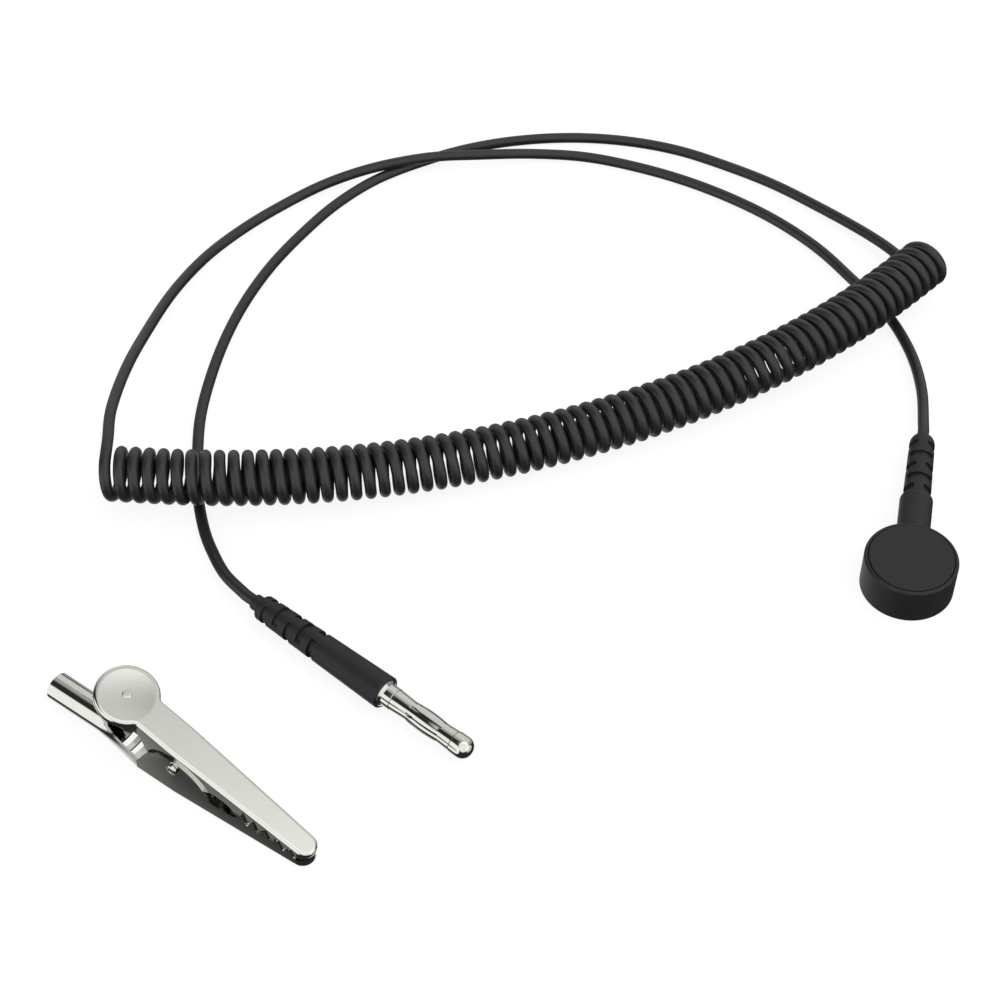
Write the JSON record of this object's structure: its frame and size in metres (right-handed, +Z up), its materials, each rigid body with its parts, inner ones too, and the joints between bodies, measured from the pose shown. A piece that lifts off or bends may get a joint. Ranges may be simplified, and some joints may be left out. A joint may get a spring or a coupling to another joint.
{
  "type": "esd wrist strap",
  "caption": "Curly ground cord with a moulded snap head, a banana plug with a sprung contact cage, and a separate sprung alligator clip.",
  "frame": {"origin": "middle of the snap socket's mouth under the head, on the bench", "axes": "+Z up from the bench; +X from the clip's side towards the head, along the longest extent of the head, plug and clip as they lie"},
  "size_m": [0.1616, 0.1801, 0.0156],
  "materials": {
    "moulding": "satin",
    "jacket": "satin",
    "nickel": "polished",
    "spring_steel": "drawn",
    "copper": "bare",
    "resistor": "lacquer",
    "sleeve": "plain"
  },
  "bodies": {
    "cord_set": {"head_shell": "moulding", "head_cap": "moulding", "head_relief": "moulding", "snap_socket": "nickel", "snap_spring": "spring_steel", "socket_rivet": "nickel", "solder_lug": "nickel", "resistor_body": "resistor", "resistor_leads": "nickel", "head_crimp": "nickel", "head_conductor": "copper", "head_cord_end": "jacket", "head_tail": "jacket", "coil": "jacket", "plug_tail": "jacket", "plug_cord_end": "jacket", "plug_conductor": "copper", "plug_grip": "moulding", "plug_insert": "sleeve", "plug_pin": "nickel", "pin_tip": "nickel"},
    "cage": {"pin_cage": "nickel"},
    "clip": {"lower_jaw": "nickel", "hinge_rivet": "nickel", "jaw_spring": "spring_steel"},
    "jaw": {"upper_jaw": "nickel"}
  },
  "joints": [
    {"name": "cage_spin", "type": "hinge", "parent": "cord_set", "child": "cage", "pos_m": [-0.08295, -0.03142, 0.00293], "axis": [0.7621, -0.6475, 0], "continuous": true},
    {"name": "clip_lift", "type": "slide", "parent": "cord_set", "child": "clip", "axis": [0, 0, 1], "range_m": [0, 0.1]},
    {"name": "jaw_open", "type": "hinge", "parent": "clip", "child": "jaw", "pos_m": [-0.12054, -0.04152, 0.0075], "axis": [-0.5976, -0.8018, 0], "range_deg": [0, 28], "stiffness_Nm_per_rad": 0.05, "springref_deg": -28.65, "deforming": ["jaw_spring"]}
  ]
}
